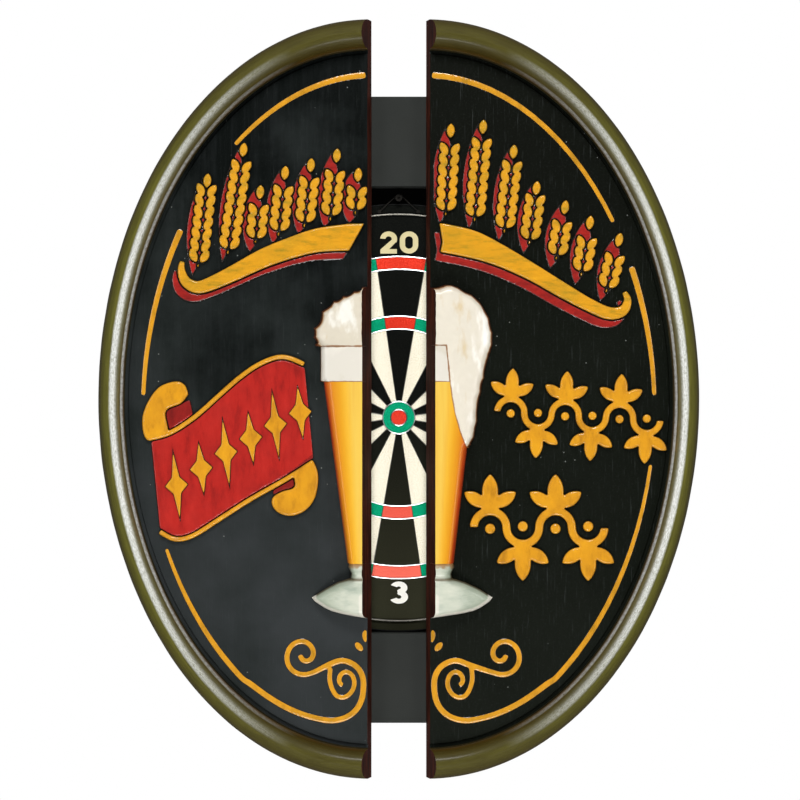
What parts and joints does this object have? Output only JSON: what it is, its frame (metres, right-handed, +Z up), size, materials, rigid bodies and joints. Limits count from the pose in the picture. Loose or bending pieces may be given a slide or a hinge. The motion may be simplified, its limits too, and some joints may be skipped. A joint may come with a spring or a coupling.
{
  "type": "dart board cabinet",
  "caption": "Oval carved pub-sign dart board cabinet: two half-oval doors on ball-bearing slides part in front of a bristle board on a wall panel.",
  "frame": {"origin": "centre of the four wall screws on the back panel's wall face, which is the centre of the closed oval", "axes": "+X to the viewer's right along the doors' travel, +Y into the wall, +Z up"},
  "size_m": [0.6274, 0.098, 0.793],
  "materials": {
    "black_panel": "satin black paint",
    "black_wood": "flat black paint",
    "grey_cover": "satin dark grey",
    "screw_steel": "zinc plated",
    "slide_steel": "zinc plated",
    "ball_steel": "polished",
    "plate_steel": "satin grey",
    "chipboard": "raw board",
    "band_steel": "satin grey",
    "sisal_black": "dyed sisal",
    "sisal_cream": "natural sisal",
    "sisal_red": "dyed sisal",
    "sisal_green": "dyed sisal",
    "wire_steel": "bright wire",
    "numeral_cream": "cream enamel",
    "brass_screw": "aged",
    "panel_charcoal": "satin charcoal paint over wood",
    "rim_olive": "olive gold glaze over wood, waxed",
    "gold_paint": "hand painted gold",
    "red_paint": "hand painted red",
    "foam_cream": "hand painted cream",
    "beer_amber": "hand painted amber",
    "foot_grey": "hand painted pale grey"
  },
  "bodies": {
    "frame": {"back_panel": "black_panel", "top_rail_block": "black_wood", "bottom_rail_block": "black_wood", "top_slide_cover": "grey_cover", "bottom_slide_cover": "grey_cover", "rail_screws": "screw_steel", "left_top_slide_outer": "slide_steel", "left_bottom_slide_outer": "slide_steel", "right_top_slide_outer": "slide_steel", "right_bottom_slide_outer": "slide_steel", "board_core": "chipboard", "board_band": "band_steel", "board_surround": "sisal_black", "black_beds": "sisal_black", "cream_beds": "sisal_cream", "red_beds": "sisal_red", "green_beds": "sisal_green", "bull": "sisal_red", "spider": "wire_steel", "number_ring": "wire_steel", "ring_clips": "wire_steel", "numerals": "numeral_cream", "hanger_screw": "brass_screw", "hanger_wire": "wire_steel"},
    "left_door": {"left_panel": "panel_charcoal", "left_rim": "rim_olive", "left_pinstripe": "gold_paint", "left_crest": "gold_paint", "left_crest_shadow": "red_paint", "left_foam": "foam_cream", "left_beer": "beer_amber", "left_glass_foot": "foot_grey", "left_top_slide_inner": "slide_steel", "left_bottom_slide_inner": "slide_steel", "left_door_plates": "plate_steel", "left_door_screws": "screw_steel", "banner": "red_paint", "banner_curls": "gold_paint", "banner_stars": "gold_paint"},
    "right_door": {"right_panel": "panel_charcoal", "right_rim": "rim_olive", "right_pinstripe": "gold_paint", "right_crest": "gold_paint", "right_crest_shadow": "red_paint", "right_foam": "foam_cream", "right_beer": "beer_amber", "right_glass_foot": "foot_grey", "right_top_slide_inner": "slide_steel", "right_bottom_slide_inner": "slide_steel", "right_door_plates": "plate_steel", "right_door_screws": "screw_steel", "vine": "gold_paint"},
    "left_middles": {"left_top_slide_middle": "slide_steel", "left_bottom_slide_middle": "slide_steel"},
    "left_outer_balls": {"left_outer_cages": "ball_steel"},
    "left_inner_balls": {"left_inner_cages": "ball_steel"},
    "right_middles": {"right_top_slide_middle": "slide_steel", "right_bottom_slide_middle": "slide_steel"},
    "right_outer_balls": {"right_outer_cages": "ball_steel"},
    "right_inner_balls": {"right_inner_cages": "ball_steel"}
  },
  "joints": [
    {"name": "left_door_slide", "type": "slide", "parent": "frame", "child": "left_door", "axis": [-1, 0, 0], "range_m": [-0.0282, 0.2013]},
    {"name": "left_middle_slide", "type": "slide", "parent": "frame", "child": "left_middles", "axis": [-1, 0, 0], "range_m": [-0.0143, 0.1009]},
    {"name": "left_outer_ball_roll", "type": "slide", "parent": "frame", "child": "left_outer_balls", "axis": [-1, 0, 0], "range_m": [-0.0072, 0.0506]},
    {"name": "left_inner_ball_roll", "type": "slide", "parent": "frame", "child": "left_inner_balls", "axis": [-1, 0, 0], "range_m": [-0.0213, 0.1513]},
    {"name": "right_door_slide", "type": "slide", "parent": "frame", "child": "right_door", "axis": [1, 0, 0], "range_m": [-0.0282, 0.2013]},
    {"name": "right_middle_slide", "type": "slide", "parent": "frame", "child": "right_middles", "axis": [1, 0, 0], "range_m": [-0.0143, 0.1009]},
    {"name": "right_outer_ball_roll", "type": "slide", "parent": "frame", "child": "right_outer_balls", "axis": [1, 0, 0], "range_m": [-0.0072, 0.0506]},
    {"name": "right_inner_ball_roll", "type": "slide", "parent": "frame", "child": "right_inner_balls", "axis": [1, 0, 0], "range_m": [-0.0213, 0.1513]}
  ],
  "couplings": [
    {"joint": "left_middle_slide", "follows": "left_door_slide", "ratio": 0.5},
    {"joint": "left_outer_ball_roll", "follows": "left_door_slide", "ratio": 0.25},
    {"joint": "left_inner_ball_roll", "follows": "left_door_slide", "ratio": 0.75},
    {"joint": "right_middle_slide", "follows": "right_door_slide", "ratio": 0.5},
    {"joint": "right_outer_ball_roll", "follows": "right_door_slide", "ratio": 0.25},
    {"joint": "right_inner_ball_roll", "follows": "right_door_slide", "ratio": 0.75}
  ]
}
